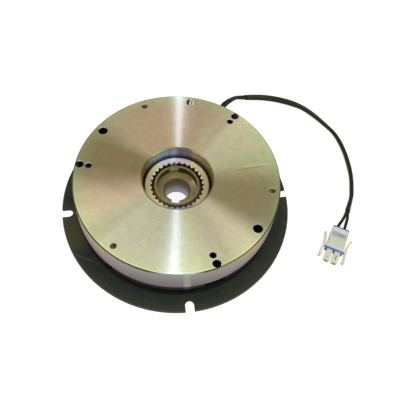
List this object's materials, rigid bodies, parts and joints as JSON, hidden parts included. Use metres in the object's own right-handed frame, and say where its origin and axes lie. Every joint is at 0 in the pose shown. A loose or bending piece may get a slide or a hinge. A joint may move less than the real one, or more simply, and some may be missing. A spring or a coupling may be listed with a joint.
{
  "type": "electromagnetic disc brake",
  "caption": "Round spring-applied electromagnetic brake: magnet body over a toothed rotor and hub on a slotted flange, with a short lead and plug.",
  "frame": {"origin": "centre of the flange plate's underside, on the shaft's axis", "axes": "+Z along the shaft's axis from the flange to the magnet body's face; +X and +Y each through one of the flange's four open slots, with the connector lying on the +X side"},
  "size_m": [0.2508, 0.1973, 0.044],
  "materials": {
    "zinc_turned": "turned steel with an iridescent yellow-green zinc finish",
    "bobbin_plastic": "glass-filled nylon, black",
    "enamelled_copper": "enamelled copper wire in layers",
    "potting_resin": "cast black resin",
    "wire_insulation": "black PVC insulation",
    "grommet_rubber": "soft black rubber",
    "spring_steel": "drawn spring wire",
    "armature_steel": "ground steel, dark passivated",
    "sleeve_zinc": "turned steel, yellow zinc",
    "screw_zinc": "yellow zinc screws",
    "flange_black": "dark olive-black sheet steel with light rub marks",
    "screw_yellow": "yellow zinc slotted screw",
    "friction_lining": "pressed friction material with fibres and metal specks",
    "carrier_steel": "plain sheet steel",
    "collar_alloy": "turned light alloy",
    "rivet_alloy": "aluminium rivets",
    "hub_zinc": "machined steel, olive-gold zinc",
    "sleeving": "thin black sleeving, slightly glossy",
    "nylon_natural": "natural nylon, milky and slightly see-through",
    "seal_blue": "soft blue silicone",
    "contact_tin": "tinned brass"
  },
  "bodies": {
    "brake_body": {"magnet_body": "zinc_turned", "coil_bobbin": "bobbin_plastic", "coil_winding": "enamelled_copper", "coil_potting": "potting_resin", "coil_tails": "wire_insulation", "lead_grommet": "grommet_rubber", "compression_springs": "spring_steel", "spacer_sleeves": "sleeve_zinc", "flange_screws": "screw_zinc", "flange_plate": "flange_black", "earth_screw": "screw_yellow", "lead_wire_a": "wire_insulation", "lead_wire_b": "wire_insulation", "lead_sleeve": "sleeving", "connector_housing": "nylon_natural", "wire_seal": "seal_blue", "front_seal": "seal_blue", "contact_sleeves": "contact_tin"},
    "armature": {"armature_plate": "armature_steel"},
    "hub": {"drive_hub": "hub_zinc"},
    "rotor": {"lining_upper": "friction_lining", "lining_lower": "friction_lining", "carrier_disc": "carrier_steel", "toothed_collar": "collar_alloy", "rotor_rivets": "rivet_alloy"}
  },
  "joints": [
    {"name": "armature_lift", "type": "slide", "parent": "brake_body", "child": "armature", "axis": [0, 0, 1], "range_m": [0, 0.0003], "stiffness_N_per_m": 6000, "springref_m": -0.005, "deforming": ["compression_springs"]},
    {"name": "hub_spin", "type": "hinge", "parent": "brake_body", "child": "hub", "pos_m": [0, 0, 0.0185], "axis": [0, 0, 1], "continuous": true},
    {"name": "rotor_float", "type": "slide", "parent": "hub", "child": "rotor", "axis": [0, 0, 1], "range_m": [0, 0.00015]}
  ],
  "couplings": [
    {"joint": "rotor_float", "follows": "armature_lift", "ratio": 0.5}
  ]
}
